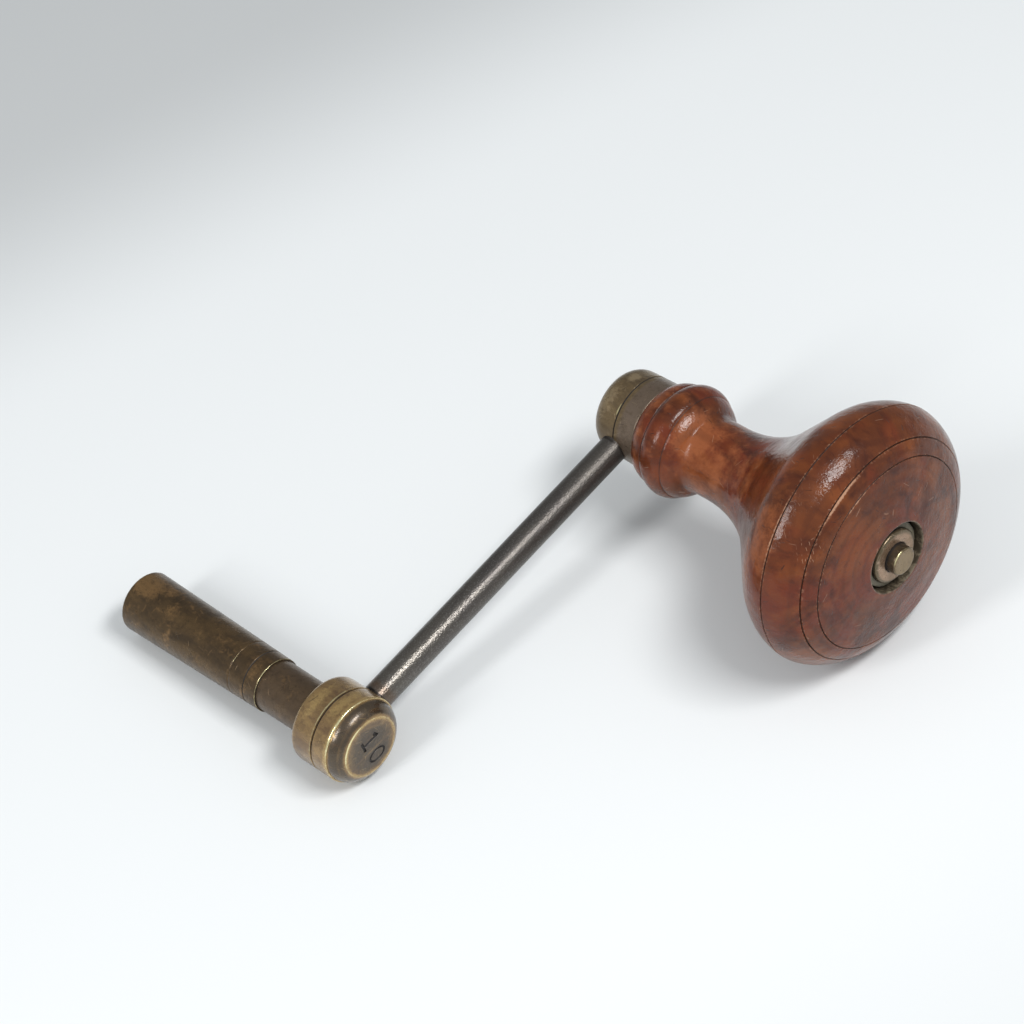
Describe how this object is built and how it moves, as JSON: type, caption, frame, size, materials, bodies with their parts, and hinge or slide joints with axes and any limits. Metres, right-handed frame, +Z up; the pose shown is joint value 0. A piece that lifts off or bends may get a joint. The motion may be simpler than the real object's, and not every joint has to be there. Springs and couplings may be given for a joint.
{
  "type": "clock key",
  "caption": "Crank key for winding a clock: tapered barrel with a square socket, turned hub, steel arm, boss and a turned wooden knob that spins on its pin.",
  "frame": {"origin": "centre of the floor under the key as it lies: the middle of its bounding box, at the bottom", "axes": "+X along the barrel and the knob's pin as seen from above, from the barrel's mouth to the knob's end; +Y along the crank arm from the hub to the boss; +Z up from the surface that the key lies on. The barrel's axis rises 2.9 degrees and the arm 9.9 degrees, because the hub, the barrel's mouth and the knob's widest ring rest on the surface."},
  "size_m": [0.0912, 0.0894, 0.0393],
  "materials": {
    "barrel_brass": "dark brown patina, lightly mottled, worn bright on edges",
    "hub_brass": "golden brown patina with bright worn rims and dark turned groove",
    "arm_steel": "dark aged steel, drawn rod with a long sheen",
    "boss_brass": "olive brown patina, satin",
    "pin_brass": "bright worn end, dark side",
    "knob_wood": "red-brown turned wood, polished, with fine scratches",
    "washer_brass": "olive grey patina, matt",
    "collar_brass": "copper brown, rubbed bright"
  },
  "bodies": {
    "crank": {"key_barrel": "barrel_brass", "hub": "hub_brass", "crank_arm": "arm_steel", "handle_boss": "boss_brass", "handle_pin": "pin_brass", "loose_washer": "washer_brass", "pin_collar": "collar_brass"},
    "handle": {"knob": "knob_wood"}
  },
  "joints": [
    {"name": "knob_spin", "type": "hinge", "parent": "crank", "child": "handle", "pos_m": [0.01628, 0.02501, 0.01862], "axis": [0.9988, 0, 0.0498], "continuous": true}
  ]
}
